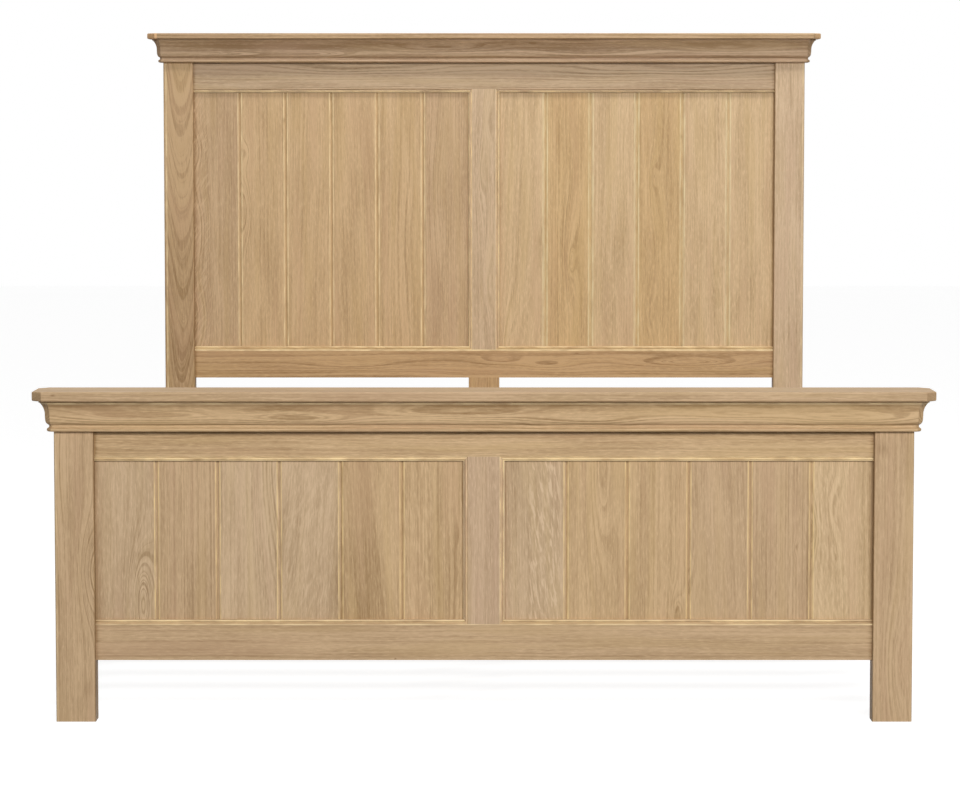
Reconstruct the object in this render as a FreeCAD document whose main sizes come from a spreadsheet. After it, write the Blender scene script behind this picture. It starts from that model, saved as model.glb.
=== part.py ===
"""A king-size oak panel bed in millimetres: footboard, headboard, side rails and slatted base.

Frame: X across the bed, -Y at the foot, +Y at the head, +Z up. The origin lies on the floor under
the middle of the bed's bounding box.
"""
import FreeCAD
import Part
import Sketcher
import math
import os

# Each row is: name of the size, its value in mm (or a count), what it measures.
SIZES = (
    ("bed_width", 1620, "over the outer faces of the posts"),
    ("side_rail_length", 2030, "between the footboard's posts and the headboard's posts"),
    ("post_width", 75, "post, across the bed"),
    ("post_depth", 42, "post, along the bed"),
    ("arris_radius", 2.5, "rounding of the long edges of posts and side rails"),
    ("foot_chamfer", 1.5, "chamfer round the bottom of each leg, and along the head centre leg"),
    ("foot_height", 629, "floor to the top of the footboard's cap"),
    ("foot_clearance", 116.5, "floor to the footboard's bottom rail"),
    ("foot_bottom_rail_height", 77, "footboard's bottom rail"),
    ("foot_top_rail_height", 116, "footboard's top rail"),
    ("foot_cap_thickness", 18, "footboard's cap board"),
    ("head_height", 1363, "floor to the top of the headboard's cap"),
    ("head_clearance", 492, "floor to the headboard's bottom rail"),
    ("head_bottom_rail_height", 80, "headboard's bottom rail"),
    ("head_top_rail_height", 134, "headboard's top rail"),
    ("head_cap_thickness", 14, "headboard's cap board"),
    ("cap_overhang", 38, "cap board beyond the posts' faces"),
    ("cap_clip", 20, "leg of the 45 degree clipped corner of a cap"),
    ("cap_round", 3, "rounding of the cap's upper and lower edges"),
    ("rail_thickness", 27, "top and bottom rails, muntins and head centre leg"),
    ("rail_setback", 8, "rail faces behind the posts' front faces"),
    ("muntin_width", 78, "muntins and head centre leg"),
    ("bead_radius", 3, "bead run along the rails' and muntins' inner edges"),
    ("quirk_width", 1.5, "floor of the quirk beside that bead"),
    ("quirk_lip", 1, "slope from the quirk up to the flat face"),
    ("tenon_length", 30, "rail tenons in the posts"),
    ("tenon_thickness", 9, "all tenons"),
    ("tenon_shoulder", 14, "rail tenon below and above the rail's edges"),
    ("muntin_tenon_length", 24, "muntin and centre leg tenons in the rails"),
    ("muntin_tenon_width", 40, "muntin and centre leg tenons in the rails"),
    ("board_count", 6, "boards in each field"),
    ("board_thickness", 11, "tongue-and-groove boards"),
    ("board_groove_depth", 10, "groove that holds the boards' ends and outer edges"),
    ("board_entry", 9, "how far the boards reach into that groove"),
    ("tongue_length", 6, "tongue along each board's left edge"),
    ("tongue_thickness", 3.6, "tongue along each board's left edge"),
    ("vee_width", 4.5, "half of the V-joint's mouth between two boards"),
    ("vee_depth", 3.2, "V-joint, each face"),
    ("joint_gap", 0.3, "between the shoulders of two boards"),
    ("fit_gap", 0.2, "each side of a tongue, tenon or board in its groove or mortise"),
    ("hole_gap", 0.3, "round an insert or bolt in its hole"),
    ("cornice_clip", 1, "leg of the clipped corner at the cornice's back"),
    ("cornice_projection", 26.5, "cornice at its top, beyond the posts' faces"),
    ("fillet_height", 3.5, "flat fillet at the cornice's top"),
    ("fillet_step", 1.5, "fillet beyond the cove's upper edge"),
    ("cove_depth", 9.5, "cove of the cornice, inwards"),
    ("cove_height", 22.5, "cove of the cornice, downwards"),
    ("ogee_depth", 0.8, "slow bulge under the cove, inwards"),
    ("ogee_height", 12, "slow bulge under the cove, downwards"),
    ("nose_depth", 5, "quick turn under the bulge, inwards"),
    ("nose_height", 7.5, "quick turn under the bulge, downwards"),
    ("nose_radius", 10.5, "quick turn under the bulge"),
    ("cornice_quirk_depth", 1.7, "quirk over the cornice's bead, inwards"),
    ("cornice_quirk_slope", 1, "upper part of that quirk, downwards"),
    ("cornice_quirk_height", 5.75, "quirk over the cornice's bead, downwards"),
    ("cornice_bead_radius", 3.75, "half-round bead at the cornice's foot"),
    ("cornice_bead_back", 8.4, "centre of that bead beyond the posts' faces"),
    ("side_rail_height", 150, "side rail"),
    ("side_rail_thickness", 25, "side rail"),
    ("side_rail_inset", 15, "side rail's outer face inside the posts' outer faces"),
    ("side_rail_clearance", 215, "floor to the side rail"),
    ("slat_top", 330, "floor to the top of the slats"),
    ("slat_count", 14, "slats"),
    ("slat_width", 70, "slat, along the bed"),
    ("slat_thickness", 18, "slat"),
    ("slat_end_gap", 3, "slat's end to the side rail"),
    ("slat_margin", 60, "posts to the first slat, and to the bearers' ends"),
    ("pine_chamfer", 2, "chamfer along the long edges of slats, bearers, beam and centre legs"),
    ("bearer_size", 30, "square section of the bearer strips"),
    ("beam_width", 35, "centre beam"),
    ("beam_height", 90, "centre beam"),
    ("leg_size", 45, "square section of the centre legs"),
    ("leg_spacing", 600, "between the centre legs, about the middle of the side rails"),
    ("bracket_margin", 3, "corner bracket's edge from the post's inner edge"),
    ("bracket_reach", 45, "corner bracket, along the side rail"),
    ("bracket_height", 105, "corner bracket"),
    ("bracket_rise", 60, "side rail's lower edge to the middle of the brackets"),
    ("steel_thickness", 3, "corner brackets and beam hangers"),
    ("bolt_spacing", 60, "between the two bolts of a bracket"),
    ("bolt_radius", 3.9, "bolt shank"),
    ("bolt_tip_gap", 1, "insert beyond the bolt's tip"),
    ("bolt_head_radius", 7.5, "hexagon head, over its corners"),
    ("bolt_head_height", 5.3, "hexagon head"),
    ("insert_radius", 6, "threaded insert"),
    ("insert_length", 13, "threaded insert, short of the board groove"),
    ("screw_hole_radius", 2.4, "screw holes in brackets and hangers"),
    ("screw_offset", 30, "bracket's screw holes from the post"),
    ("screw_spacing", 72, "between the two screw holes of a bracket"),
    ("stub_length", 8, "tenons on the posts' tops, in the caps"),
    ("stub_inset", 12, "those tenons inside the posts' faces"),
    ("tongue_strip_thickness", 6, "loose tongue between a cap and its top rail"),
    ("tongue_strip_height", 16, "that tongue, half of it in the cap"),
    ("tongue_strip_stop", 60, "that tongue's ends short of the posts"),
    ("end_gap", 0.5, "mortise or groove beyond the end of what it holds"),
    ("hanger_depth", 45, "beam hanger, along the beam"),
    ("hanger_cheek", 50, "beam hanger's cheeks"),
    ("hanger_plate_width", 72, "beam hanger's back plate"),
    ("hanger_plate_height", 66, "beam hanger's back plate"),
    ("hanger_gap", 0.5, "beam to its hanger"),
)

CUT_SPARE = 5      # mm that a cutting outline runs past the wood it removes
SMALL_SIDES = 12   # flats that stand for the round of the small bolts, inserts and insert holes

doc = FreeCAD.newDocument("panel_bed")
sheet = doc.addObject("Spreadsheet::Sheet", "Sizes")


class Length:
    """A length in mm: its value, and the text of the expression that gives it from the sheet."""

    def __init__(self, value, text):
        self.value = float(value)
        self.text = text

    def __add__(self, other):
        other = as_length(other)
        return Length(self.value + other.value, f"({self.text} + {other.text})")

    def __sub__(self, other):
        other = as_length(other)
        return Length(self.value - other.value, f"({self.text} - {other.text})")

    def __mul__(self, other):
        other = as_length(other)
        return Length(self.value * other.value, f"({self.text} * {other.text})")

    def __truediv__(self, other):
        other = as_length(other)
        return Length(self.value / other.value, f"({self.text} / {other.text})")

    def __neg__(self):
        return Length(-self.value, f"(-1 * {self.text})")

    def __radd__(self, other):
        return as_length(other) + self

    def __rsub__(self, other):
        return as_length(other) - self

    def __rmul__(self, other):
        return as_length(other) * self


def as_length(number):
    """The number itself if it is a Length, or a Length that holds the plain number."""
    if isinstance(number, Length):
        return number
    return Length(number, repr(float(number)))


class Sizes:
    """The driving sizes by name, each as a Length that reads its cell of the sheet."""


size = Sizes()
for row, (alias, value, meaning) in enumerate(SIZES, start=1):
    sheet.set(f"A{row}", meaning)
    sheet.set(f"B{row}", str(value))
    sheet.setAlias(f"B{row}", alias)
    setattr(size, alias, Length(value, f"Sizes.{alias}"))
doc.recompute()

# ---------------------------------------------------------------------------------------------
# Places that several pieces share
# ---------------------------------------------------------------------------------------------
half_width = size.bed_width / 2
post_inner = half_width - size.post_width
post_centre = half_width - size.post_width / 2
bed_length = size.cap_overhang + 2 * size.post_depth + size.side_rail_length

foot_front = size.cap_overhang - bed_length / 2
foot_back = foot_front + size.post_depth
head_front = foot_back + size.side_rail_length
head_back = head_front + size.post_depth
middle_y = (foot_back + head_front) / 2

rail_middle = size.rail_setback + size.rail_thickness / 2
rail_length = 2 * post_inner
half_muntin = size.muntin_width / 2
bead_zone = 2 * size.bead_radius + size.quirk_width + size.quirk_lip
groove_near = (size.rail_thickness - size.board_thickness) / 2 - size.fit_gap
groove_far = size.rail_thickness - groove_near
tenon_near = (size.rail_thickness - size.tenon_thickness) / 2
tenon_far = size.rail_thickness - tenon_near

rail_inner = half_width - size.side_rail_inset - size.side_rail_thickness
bracket_z = size.side_rail_clearance + size.bracket_rise
bolt_x = (rail_inner + post_inner) / 2
bolt_hole_radius = size.bolt_radius + size.hole_gap
slat_bottom = size.slat_top - size.slat_thickness
beam_bottom = slat_bottom - size.beam_height


class End:
    """The heights and places of the footboard or the headboard."""

    def __init__(self, name, front, height, cap, clearance, bottom_rail, top_rail, back_overhang, two_faced):
        self.name = name
        self.front = front
        self.rail_face = front + size.rail_setback
        self.cap_thickness = cap
        self.cap_under = height - cap
        self.clearance = clearance
        self.bottom_rail = bottom_rail
        self.top_rail = top_rail
        self.field_bottom = clearance + bottom_rail
        self.field_top = height - cap - top_rail
        self.field = self.field_top - self.field_bottom
        self.back_overhang = back_overhang
        self.two_faced = two_faced


foot = End("foot", foot_front, size.foot_height, size.foot_cap_thickness, size.foot_clearance,
           size.foot_bottom_rail_height, size.foot_top_rail_height, size.cap_overhang, True)
head = End("head", head_front, size.head_height, size.head_cap_thickness, size.head_clearance,
           size.head_bottom_rail_height, size.head_top_rail_height, as_length(0), False)
ends = (foot, head)

# ---------------------------------------------------------------------------------------------
# Drawing and modelling helpers
# ---------------------------------------------------------------------------------------------
parts = {}


def bind(thing, prop, length):
    """Tie one property of an object to its expression."""
    thing.setExpression(prop, as_length(length).text)


def place(thing, x, y, z):
    """Put an object at x, y, z, each tied to the sheet."""
    bind(thing, "Placement.Base.x", x)
    bind(thing, "Placement.Base.y", y)
    bind(thing, "Placement.Base.z", z)


def new_body(name, x=0, y=0, z=0, turn=0):
    """An empty body at x, y, z, turned about Z by whole degrees."""
    body = doc.addObject("PartDesign::Body", name)
    body.Label = name
    body.Placement = FreeCAD.Placement(FreeCAD.Vector(), FreeCAD.Rotation(FreeCAD.Vector(0, 0, 1), turn))
    place(body, x, y, z)
    return body


def new_sketch(body, name, plane, offset=0):
    """A sketch on one of the body's own origin planes, moved along that plane's normal."""
    sketch = body.newObject("Sketcher::SketchObject", f"{body.Name}_{name}")
    support = [p for p in body.Origin.OriginFeatures if p.Role == f"{plane}_Plane"]
    sketch.AttachmentSupport = [(support[0], "")]
    sketch.MapMode = "FlatFace"
    bind(sketch, "AttachmentOffset.Base.z", offset)
    return sketch


def vertex(x, y, radius=None):
    """A corner of an outline; a radius makes the edge that arrives there an arc.

    The arc turns left where the radius is positive and right where it is negative.
    """
    return (as_length(x), as_length(y), radius)


def backwards(path):
    """The same stretch of outline walked the other way."""
    radii = [None] + [None if v[2] is None else -v[2] for v in reversed(path[1:])]
    return [(v[0], v[1], r) for v, r in zip(reversed(path), radii)]


def arc_edge(start, end, radius):
    """A minor arc from start to end, and which of its ends each one is."""
    chord = end - start
    height = math.sqrt(radius.value ** 2 - (chord.Length / 2) ** 2)
    left = FreeCAD.Vector(-chord.y, chord.x, 0).normalize()
    centre = (start + end) / 2 + left * math.copysign(height, radius.value)
    first, last = (start, end) if radius.value > 0 else (end, start)
    angles = [math.atan2(p.y - centre.y, p.x - centre.x) for p in (first, last)]
    circle = Part.Circle(centre, FreeCAD.Vector(0, 0, 1), abs(radius.value))
    return Part.ArcOfCircle(circle, angles[0], angles[1]), (1, 2) if radius.value > 0 else (2, 1)


def outline(sketch, path, closed=True):
    """Lines and arcs through the path's corners, with each corner and radius tied to the sheet."""
    points = [FreeCAD.Vector(v[0].value, v[1].value, 0) for v in path]
    last = len(path) if closed else len(path) - 1
    tips = []
    for i in range(last):
        j = (i + 1) % len(path)
        radius = path[j][2]
        if radius is None:
            edge, (begin, finish) = Part.LineSegment(points[i], points[j]), (1, 2)
        else:
            edge, (begin, finish) = arc_edge(points[i], points[j], radius)
        index = sketch.addGeometry(edge)
        if radius is not None:
            sign = 1 if radius.value > 0 else -1
            row = sketch.addConstraint(Sketcher.Constraint("Radius", index, abs(radius.value)))
            bind(sketch, f"Constraints[{row}]", sign * radius)
        tips.append((index, begin, finish))
    for i in range(1, last):
        sketch.addConstraint(Sketcher.Constraint("Coincident", tips[i - 1][0], tips[i - 1][2], *tips[i][:2]))
    if closed:
        sketch.addConstraint(Sketcher.Constraint("Coincident", tips[-1][0], tips[-1][2], *tips[0][:2]))
    for i, corner in enumerate(path):
        index, begin = (tips[i][0], tips[i][1]) if i < last else (tips[-1][0], tips[-1][2])
        for kind, distance in zip(("DistanceX", "DistanceY"), corner):
            constraint = Sketcher.Constraint(kind, -1, 1, index, begin, distance.value)
            bind(sketch, f"Constraints[{sketch.addConstraint(constraint)}]", distance)
    return sketch


def rectangle(sketch, x0, y0, x1, y1):
    """A rectangle between two corners."""
    return outline(sketch, [vertex(x0, y0), vertex(x1, y0), vertex(x1, y1), vertex(x0, y1)])


def rounded_path(x0, y0, x1, y1, r):
    """Corners of a rounded rectangle, walked counter-clockwise; the first corner closes the last arc."""
    return [vertex(x0 + r, y0, r), vertex(x1 - r, y0), vertex(x1, y0 + r, r), vertex(x1, y1 - r),
            vertex(x1 - r, y1, r), vertex(x0 + r, y1), vertex(x0, y1 - r, r), vertex(x0, y0 + r)]


def chamfered_path(x0, y0, x1, y1, c):
    """Corners of a rectangle with chamfered corners, walked counter-clockwise."""
    return [vertex(x0 + c, y0), vertex(x1 - c, y0), vertex(x1, y0 + c), vertex(x1, y1 - c),
            vertex(x1 - c, y1), vertex(x0 + c, y1), vertex(x0, y1 - c), vertex(x0, y0 + c)]


def circle(sketch, x, y, radius):
    """A circle with its centre and radius tied to the sheet."""
    x, y = as_length(x), as_length(y)
    index = sketch.addGeometry(Part.Circle(FreeCAD.Vector(x.value, y.value, 0), FreeCAD.Vector(0, 0, 1),
                                           radius.value))
    centre = (-1, 1, index, 3)
    pins = (("Radius", (index,), radius), ("DistanceX", centre, x), ("DistanceY", centre, y))
    for kind, between, distance in pins:
        row = sketch.addConstraint(Sketcher.Constraint(kind, *between, distance.value))
        bind(sketch, f"Constraints[{row}]", distance)


def flat_sided_round(x, y, radius):
    """Corners of a small round drawn with flats, about the point x, y."""
    turns = [2 * math.pi * step / SMALL_SIDES for step in range(SMALL_SIDES)]
    return [vertex(x + radius * math.cos(turn), y + radius * math.sin(turn)) for turn in turns]


def pad(body, sketch, length, both_ways=False, backward=False):
    """Material along the sketch's normal, or to both sides of it."""
    feature = body.newObject("PartDesign::Pad", f"{sketch.Name}_pad")
    feature.Profile = sketch
    bind(feature, "Length", length)
    if both_ways:
        feature.SideType = "Symmetric"
    feature.Reversed = backward
    return feature


def pocket(body, sketch, depth=None, forward=False):
    """A cut against the sketch's normal, or along it; without a depth it goes through both ways.

    The body is measured before and after, so a cut that meets no material stops the build.
    """
    doc.recompute()
    before = body.Shape.Volume
    feature = body.newObject("PartDesign::Pocket", f"{sketch.Name}_cut")
    feature.Profile = sketch
    if depth is None:
        feature.Type = "ThroughAll"
        feature.SideType = "Symmetric"
    else:
        bind(feature, "Length", depth)
        feature.Reversed = forward
    doc.recompute()
    if not body.Shape.Volume < before - 1e-6:
        raise RuntimeError(f"{feature.Name} cuts nothing")
    return feature


def dress(body, kind, base, is_wanted, amount):
    """A fillet or chamfer on the edges of a feature for which is_wanted says yes."""
    doc.recompute()
    names = [f"Edge{i}" for i, edge in enumerate(base.Shape.Edges, start=1) if is_wanted(edge)]
    feature = body.newObject(f"PartDesign::{kind}", f"{body.Name}_{kind.lower()}")
    feature.Base = (base, names)
    bind(feature, "Radius" if kind == "Fillet" else "Size", amount)
    return feature


def lies_at_height(edge, z):
    """Whether the whole edge lies at this height in its body's own frame."""
    box = edge.BoundBox
    return abs(box.ZMin - z) < 0.01 and abs(box.ZMax - z) < 0.01


def keep(name, thing):
    """Hand a finished piece in under this name."""
    thing.Label = name
    parts[name] = thing
    return thing


def group(name, members):
    """Identical pieces handed in as one node of separate solids."""
    compound = doc.addObject("Part::Compound", name)
    compound.Links = members
    return keep(name, compound)


# ---------------------------------------------------------------------------------------------
# Mouldings run on the frame's edges
# ---------------------------------------------------------------------------------------------
def bead(edge_u, inward, face_v, deeper, turn):
    """A quirked bead from the flat face round to the edge.

    u runs along the face and v into the wood. edge_u and face_v are where the edge and the face lie,
    and inward and deeper (1 or -1) point from them into the piece. turn is the sign of the arcs.
    """
    r = size.bead_radius
    floor = 2 * r + size.quirk_width
    steps = ((bead_zone, 0, None), (floor, r, None), (2 * r, r, None), (r, 0, turn * r), (0, r, turn * r))
    return [(edge_u + inward * u, face_v + deeper * v, radius) for u, v, radius in steps]


def swapped(path):
    """The same stretch with its two axes exchanged, which also turns its arcs the other way."""
    return [(v[1], v[0], None if v[2] is None else -v[2]) for v in path]


def moulded_edge(edge_u, inward, two_faced):
    """An edge from front face to back face: bead, groove for the boards, and a bead or a plain corner."""
    thickness = size.rail_thickness
    floor_u = edge_u + inward * size.board_groove_depth
    front = bead(edge_u, inward, as_length(0), 1, inward)
    groove = [vertex(edge_u, groove_near), vertex(floor_u, groove_near),
              vertex(floor_u, groove_far), vertex(edge_u, groove_far)]
    back = [vertex(edge_u, thickness)]
    if two_faced:
        back = backwards(bead(edge_u, inward, thickness, -1, -inward))
    return front + groove + back


def make_rail(end, name, height, bottom, edge_up):
    """A top or bottom rail: moulded inner edge, tenons, and the place cut out for the muntin."""
    body = new_body(f"{end.name}_{name}", 0, end.rail_face, bottom)
    edge = height if edge_up else as_length(0)
    far = as_length(0) if edge_up else height
    inward = -1 if edge_up else 1
    section = swapped(moulded_edge(edge, inward, end.two_faced))
    section += [vertex(size.rail_thickness, far), vertex(0, far)]
    pad(body, outline(new_sketch(body, "section", "YZ"), section), rail_length, both_ways=True)

    tenon = new_sketch(body, "tenon", "YZ")
    rectangle(tenon, tenon_near, size.tenon_shoulder, tenon_far, height - size.tenon_shoulder)
    pad(body, tenon, rail_length + 2 * size.tenon_length, both_ways=True)

    mouth = half_muntin
    flat = half_muntin - bead_zone
    inner = edge + inward * bead_zone
    notch = new_sketch(body, "muntin_notch", "XZ")
    outline(notch, [vertex(-mouth, edge), vertex(mouth, edge), vertex(flat, inner), vertex(-flat, inner)])
    pocket(body, notch)
    cut_mortise(body, "muntin_mortise", edge, bead_zone + size.muntin_tenon_length, up=not edge_up)
    return body


def cut_mortise(body, name, edge, reach, up):
    """A mortise for a muntin or centre leg tenon, cut from a rail's edge."""
    sketch = new_sketch(body, name, "XY", edge)
    half = size.muntin_tenon_width / 2 + size.fit_gap
    rectangle(sketch, -half, tenon_near - size.fit_gap, half, tenon_far + size.fit_gap)
    pocket(body, sketch, reach + size.fit_gap, forward=up)


def make_muntin(end):
    """The upright between the two fields: beads mitred to the rails' beads, grooved edges, tenons."""
    body = new_body(f"{end.name}_muntin", 0, end.rail_face, end.field_bottom)
    right = moulded_edge(half_muntin, -1, end.two_faced)
    left = backwards(moulded_edge(-half_muntin, 1, end.two_faced))
    section = new_sketch(body, "section", "XY", -bead_zone)
    pad(body, outline(section, right + left), end.field + 2 * bead_zone)

    mitres = new_sketch(body, "mitres", "XZ")
    for side in (-1, 1):
        outer = side * (half_muntin + CUT_SPARE)
        inner = side * (half_muntin - bead_zone)
        for edge, outward in ((as_length(0), -1), (end.field, 1)):
            tip = edge + outward * bead_zone
            beyond = tip + outward * CUT_SPARE
            outline(mitres, [vertex(side * half_muntin, edge), vertex(inner, tip), vertex(inner, beyond),
                             vertex(outer, beyond), vertex(outer, edge)])
    pocket(body, mitres)

    reach = bead_zone + size.muntin_tenon_length
    tenon = new_sketch(body, "tenon", "XY", -reach)
    half = size.muntin_tenon_width / 2
    rectangle(tenon, -half, tenon_near, half, tenon_far)
    pad(body, tenon, end.field + 2 * reach)
    return body


# ---------------------------------------------------------------------------------------------
# Posts, caps and boards
# ---------------------------------------------------------------------------------------------
def make_post(end, side):
    """A post: rounded arrises, board groove, mortises, insert holes, and a tenon for the cap."""
    side_name = "left" if side < 0 else "right"
    body = new_body(f"{end.name}_post_{side_name}", side * post_centre, end.front + size.post_depth / 2, 0)
    half_w = size.post_width / 2
    half_d = size.post_depth / 2
    section = new_sketch(body, "section", "XY")
    outline(section, rounded_path(-half_w, -half_d, half_w, half_d, size.arris_radius))
    pad(body, section, end.cap_under)
    stub = new_sketch(body, "cap_tenon", "XY", end.cap_under)
    rectangle(stub, size.stub_inset - half_w, size.stub_inset - half_d,
              half_w - size.stub_inset, half_d - size.stub_inset)
    pad(body, stub, size.stub_length)

    inner = -side * half_w
    into_left = side > 0
    depth_of = rail_middle - half_d
    half_groove = size.board_thickness / 2 + size.fit_gap
    groove = new_sketch(body, "board_groove", "YZ", inner)
    rectangle(groove, depth_of - half_groove, end.field_bottom - size.board_groove_depth,
              depth_of + half_groove, end.field_top + size.board_groove_depth)
    pocket(body, groove, size.board_groove_depth, forward=into_left)

    half_tenon = size.tenon_thickness / 2 + size.fit_gap
    mortises = new_sketch(body, "mortises", "YZ", inner)
    for low, tall in ((end.clearance, end.bottom_rail), (end.field_top, end.top_rail)):
        rectangle(mortises, depth_of - half_tenon, low + size.tenon_shoulder - size.fit_gap,
                  depth_of + half_tenon, low + tall - size.tenon_shoulder + size.fit_gap)
    pocket(body, mortises, size.tenon_length + size.fit_gap, forward=into_left)

    bed_side = 1 if end is foot else -1
    holes = new_sketch(body, "insert_holes", "XZ", -bed_side * half_d)
    for level in (-1, 1):
        outline(holes, flat_sided_round(side * (bolt_x - post_centre),
                                        bracket_z + level * size.bolt_spacing / 2,
                                        size.insert_radius + size.hole_gap))
    pocket(body, holes, size.insert_length + size.hole_gap, forward=end is foot)
    return body


def make_cap(end):
    """The cap board: clipped corners wherever it overhangs, soft edges, mortises and tongue groove."""
    body = new_body(f"{end.name}_cap", 0, 0, end.cap_under)
    front = end.front - size.cap_overhang
    back = end.front + size.post_depth + end.back_overhang
    side = half_width + size.cap_overhang
    clip = size.cap_clip
    path = [vertex(-side, front + clip), vertex(clip - side, front), vertex(side - clip, front),
            vertex(side, front + clip)]
    if end.two_faced:
        path += [vertex(side, back - clip), vertex(side - clip, back), vertex(clip - side, back),
                 vertex(-side, back - clip)]
    else:
        path += [vertex(side, back), vertex(-side, back)]
    board = pad(body, outline(new_sketch(body, "outline", "XY"), path), end.cap_thickness)
    dress(body, "Fillet", board, lambda edge: edge.BoundBox.ZLength < 0.01, size.cap_round)

    post_y = end.front + size.post_depth / 2
    half_x = size.post_width / 2 - size.stub_inset + size.fit_gap
    half_y = size.post_depth / 2 - size.stub_inset + size.fit_gap
    mortises = new_sketch(body, "post_mortises", "XY")
    for side_sign in (-1, 1):
        centre = side_sign * post_centre
        rectangle(mortises, centre - half_x, post_y - half_y, centre + half_x, post_y + half_y)
    pocket(body, mortises, size.stub_length + size.end_gap, forward=True)
    cut_tongue_groove(body, as_length(0), end.front + rail_middle, up=True)
    return body


def cut_tongue_groove(body, z, middle, up):
    """The stopped groove for half of the loose tongue, cut at height z in a cap or a top rail."""
    half_length = post_inner - size.tongue_strip_stop + size.end_gap
    half_thickness = size.tongue_strip_thickness / 2 + size.fit_gap
    sketch = new_sketch(body, "tongue_groove", "XY", z)
    rectangle(sketch, -half_length, middle - half_thickness, half_length, middle + half_thickness)
    pocket(body, sketch, size.tongue_strip_height / 2 + size.end_gap, forward=up)


def make_cap_tongue(end):
    """The loose tongue that keeps the cap and the top rail in line."""
    tongue = doc.addObject("Part::Box", f"{end.name}_cap_tongue")
    bind(tongue, "Length", 2 * (post_inner - size.tongue_strip_stop))
    bind(tongue, "Width", size.tongue_strip_thickness)
    bind(tongue, "Height", size.tongue_strip_height)
    place(tongue, size.tongue_strip_stop - post_inner,
          end.front + rail_middle - size.tongue_strip_thickness / 2,
          end.cap_under - size.tongue_strip_height / 2)
    return tongue


def tongue_edge(x):
    """A board's left edge, from its back face to its front: V, shoulder, tongue, shoulder, V."""
    t = size.board_thickness
    shoulder = x + size.joint_gap / 2
    low = (t - size.tongue_thickness) / 2
    tip = x - size.tongue_length
    return [vertex(x + size.vee_width, t), vertex(shoulder, t - size.vee_depth), vertex(shoulder, t - low),
            vertex(tip, t - low), vertex(tip, low), vertex(shoulder, low),
            vertex(shoulder, size.vee_depth), vertex(x + size.vee_width, 0)]


def groove_edge(x):
    """A board's right edge, from its front face to its back: V, shoulder, groove, shoulder, V."""
    t = size.board_thickness
    shoulder = x - size.joint_gap / 2
    low = (t - size.tongue_thickness) / 2 - size.fit_gap
    floor = x - size.tongue_length - size.fit_gap
    return [vertex(x - size.vee_width, 0), vertex(shoulder, size.vee_depth), vertex(shoulder, low),
            vertex(floor, low), vertex(floor, t - low), vertex(shoulder, t - low),
            vertex(shoulder, t - size.vee_depth), vertex(x - size.vee_width, t)]


def make_board(end, field_side, index):
    """One tongue-and-groove board; the outer edges of a field run into the post's or muntin's groove."""
    count = int(size.board_count.value)
    side_name = "left" if field_side < 0 else "right"
    field_start = -post_inner if field_side < 0 else half_muntin
    pitch = (post_inner - half_muntin) / size.board_count
    left = field_start + index * pitch
    right = field_start + (index + 1) * pitch
    body = new_body(f"{end.name}_board_{side_name}_{index + 1}", 0,
                    end.front + rail_middle - size.board_thickness / 2, end.field_bottom - size.board_entry)
    hidden_left = left - size.board_entry
    hidden_right = right + size.board_entry
    plain_left = [vertex(hidden_left, size.board_thickness), vertex(hidden_left, 0)]
    plain_right = [vertex(hidden_right, 0), vertex(hidden_right, size.board_thickness)]
    path = plain_left if index == 0 else tongue_edge(left)
    path += plain_right if index == count - 1 else groove_edge(right)
    pad(body, outline(new_sketch(body, "section", "XY"), path), end.field + 2 * size.board_entry)
    return body


# ---------------------------------------------------------------------------------------------
# Cornice moulding, mitred round the clipped corners
# ---------------------------------------------------------------------------------------------
MITRE_SLOPE = math.tan(math.radians(22.5))
cornice_reach = size.cornice_projection + CUT_SPARE
cornice_drop = (size.fillet_height + size.cove_height + size.ogee_height + size.nose_height
                + size.cornice_quirk_height + 2 * size.cornice_bead_radius)


def upright_arc(depth, height):
    """The radius of an arc that covers this depth and height and is upright at one of its ends."""
    return (depth * depth + height * height) / (2 * depth)


def cornice_section(face_x, outward):
    """The moulding's section below the cap, standing out of face_x: fillet, cove, ogee, quirk and bead."""
    ogee_radius = upright_arc(size.ogee_depth, size.ogee_height)
    cove_radius = upright_arc(size.cove_depth, size.cove_height)
    bead_r = size.cornice_bead_radius
    stations = [(size.cornice_projection, 0, None), (size.cornice_projection, size.fillet_height, None)]

    def step(inward, down, radius=None):
        out, depth, _ = stations[-1]
        stations.append((out - inward, depth + down, radius))

    step(size.fillet_step, 0)
    step(size.cove_depth, size.cove_height, outward * cove_radius)
    step(size.ogee_depth, size.ogee_height, -outward * ogee_radius)
    step(size.nose_depth, size.nose_height, -outward * size.nose_radius)
    step(size.cornice_quirk_depth, size.cornice_quirk_slope)
    step(0, size.cornice_quirk_height - size.cornice_quirk_slope)
    bead_top = stations[-1][1]
    stations.append((size.cornice_bead_back, bead_top, None))
    stations.append((size.cornice_bead_back + bead_r, bead_top + bead_r, -outward * bead_r))
    stations.append((size.cornice_bead_back, bead_top + 2 * bead_r, -outward * bead_r))
    path = [vertex(face_x, 0)]
    path += [(face_x + outward * out, -as_length(down), radius) for out, down, radius in stations]
    path.append(vertex(face_x, -cornice_drop))
    return path


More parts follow.
